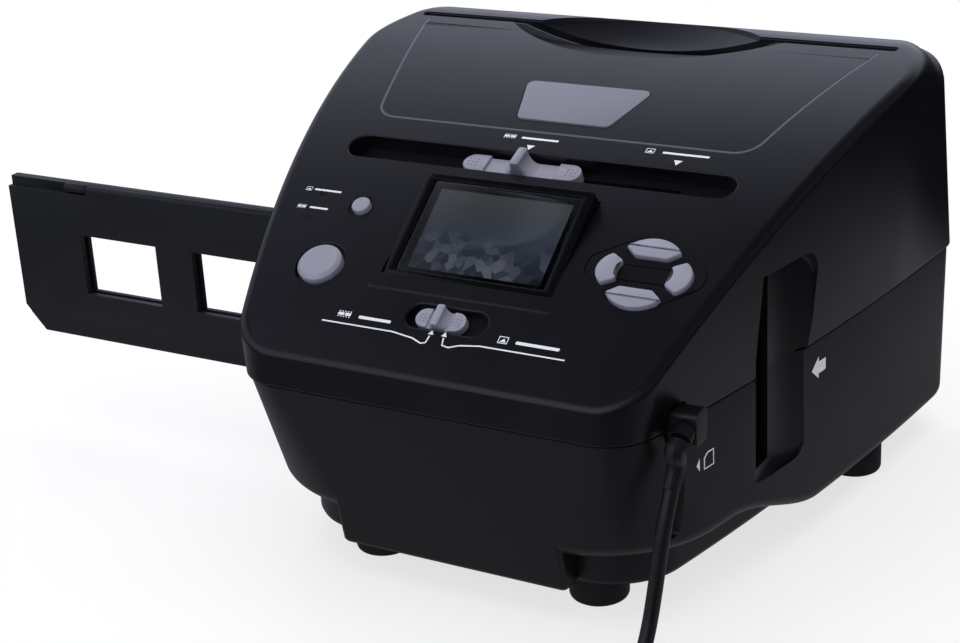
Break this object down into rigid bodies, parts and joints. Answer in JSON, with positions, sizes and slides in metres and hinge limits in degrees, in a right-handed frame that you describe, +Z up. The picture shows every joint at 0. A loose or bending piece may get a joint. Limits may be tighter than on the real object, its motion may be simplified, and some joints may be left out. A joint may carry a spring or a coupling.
{
  "type": "film and photo scanner",
  "caption": "Desktop film and photo scanner: sloping control panel with display, side slot with a pull-through slide holder, print slot in the lid, USB lead.",
  "frame": {"origin": "middle of the scanner with its slide holder pushed to the left, on the plane of its feet", "axes": "+Z up, -Y towards the user, +X to the user's right, the way the slide holder moves through"},
  "size_m": [0.3841, 0.2868, 0.1542],
  "materials": {
    "upper_shell": "satin, fine texture",
    "lower_shell": "satin, fine texture",
    "screen_frame": "gloss",
    "screen_clear": "clear, polished",
    "display": "smooth panel",
    "button_silver": "satin metallic lacquer",
    "badge_silver": "fine brushed",
    "foot_rubber": "matte",
    "cord_rubber": "satin",
    "tie_plastic": "satin",
    "holder_plastic": "fine grain",
    "inner_plastic": "matte",
    "light_opal": "opal",
    "white_plate": "matte white",
    "led_boards": "white solder mask",
    "circuit_green": "solder mask",
    "circuit_dark": "solder mask",
    "chip_black": "moulded",
    "screw_steel": "zinc plated",
    "rod_steel": "ground",
    "connector_steel": "plated",
    "lens_glass": "coated"
  },
  "bodies": {
    "scanner": {"lower_housing": "lower_shell", "upper_housing": "upper_shell", "feet": "foot_rubber", "foot_screws": "screw_steel", "housing_screws": "screw_steel", "screen_bezel": "screen_frame", "screen_window": "screen_clear", "display_module": "display", "scan_board": "circuit_dark", "scan_switches": "chip_black", "key_board": "circuit_dark", "key_switches": "chip_black", "status_lights": "light_opal", "name_plate": "badge_silver", "light_rods": "rod_steel", "lens_rods": "rod_steel", "camera_bracket": "screw_steel", "sensor_board": "circuit_green", "image_sensor": "chip_black", "film_channel": "inner_plastic", "print_guides": "inner_plastic", "print_backplate": "white_plate", "light_tunnel": "inner_plastic", "print_lights": "led_boards", "main_board": "circuit_green", "main_chips": "chip_black", "io_board": "circuit_green", "usb_socket": "connector_steel", "card_socket": "connector_steel", "board_screws": "screw_steel", "usb_plug": "cord_rubber", "usb_plug_shell": "connector_steel", "usb_boot": "cord_rubber", "usb_cord": "cord_rubber", "usb_cord_coil": "cord_rubber", "cord_tie": "tie_plastic", "computer_plug": "cord_rubber", "computer_plug_shell": "connector_steel"},
    "film_holder": {"holder_base": "holder_plastic", "holder_cover": "holder_plastic", "holder_hinge_pin": "rod_steel"},
    "light_slider": {"light_slider_knob": "button_silver", "light_carriage": "inner_plastic", "light_diffuser": "light_opal", "light_board": "led_boards"},
    "focus_slider": {"focus_slider_knob": "button_silver", "focus_cam": "inner_plastic"},
    "lens": {"lens_carriage": "inner_plastic", "lens_barrel": "inner_plastic", "lens_glass": "lens_glass"},
    "scan_button": {"scan_button": "button_silver"},
    "power_button": {"power_button": "button_silver"},
    "mode_button": {"mode_button": "button_silver"},
    "enter_button": {"enter_button": "button_silver"},
    "left_button": {"left_button": "button_silver"},
    "right_button": {"right_button": "button_silver"}
  },
  "joints": [
    {"name": "holder_slide", "type": "slide", "parent": "scanner", "child": "film_holder", "axis": [1, 0, 0], "range_m": [-0.096, 0.283]},
    {"name": "light_slide", "type": "slide", "parent": "scanner", "child": "light_slider", "axis": [1, 0, 0], "range_m": [0, 0.0525]},
    {"name": "focus_slide", "type": "slide", "parent": "scanner", "child": "focus_slider", "axis": [1, 0, 0], "range_m": [0, 0.005]},
    {"name": "lens_slide", "type": "slide", "parent": "scanner", "child": "lens", "axis": [0, 1, 0], "range_m": [-0.0016, 0]},
    {"name": "scan_button_press", "type": "slide", "parent": "scanner", "child": "scan_button", "axis": [0, 0.4889, -0.8723], "range_m": [0, 0.0008], "stiffness_N_per_m": 600},
    {"name": "power_button_press", "type": "slide", "parent": "scanner", "child": "power_button", "axis": [0, 0.4889, -0.8723], "range_m": [0, 0.0008], "stiffness_N_per_m": 600},
    {"name": "mode_button_press", "type": "slide", "parent": "scanner", "child": "mode_button", "axis": [0, 0.4853, -0.8744], "range_m": [0, 0.0008], "stiffness_N_per_m": 600},
    {"name": "enter_button_press", "type": "slide", "parent": "scanner", "child": "enter_button", "axis": [0, 0.4853, -0.8744], "range_m": [0, 0.0008], "stiffness_N_per_m": 600},
    {"name": "left_button_press", "type": "slide", "parent": "scanner", "child": "left_button", "axis": [0, 0.4853, -0.8744], "range_m": [0, 0.0008], "stiffness_N_per_m": 600},
    {"name": "right_button_press", "type": "slide", "parent": "scanner", "child": "right_button", "axis": [0, 0.4853, -0.8744], "range_m": [0, 0.0008], "stiffness_N_per_m": 600}
  ],
  "couplings": [
    {"joint": "lens_slide", "follows": "focus_slide", "ratio": -0.3}
  ]
}
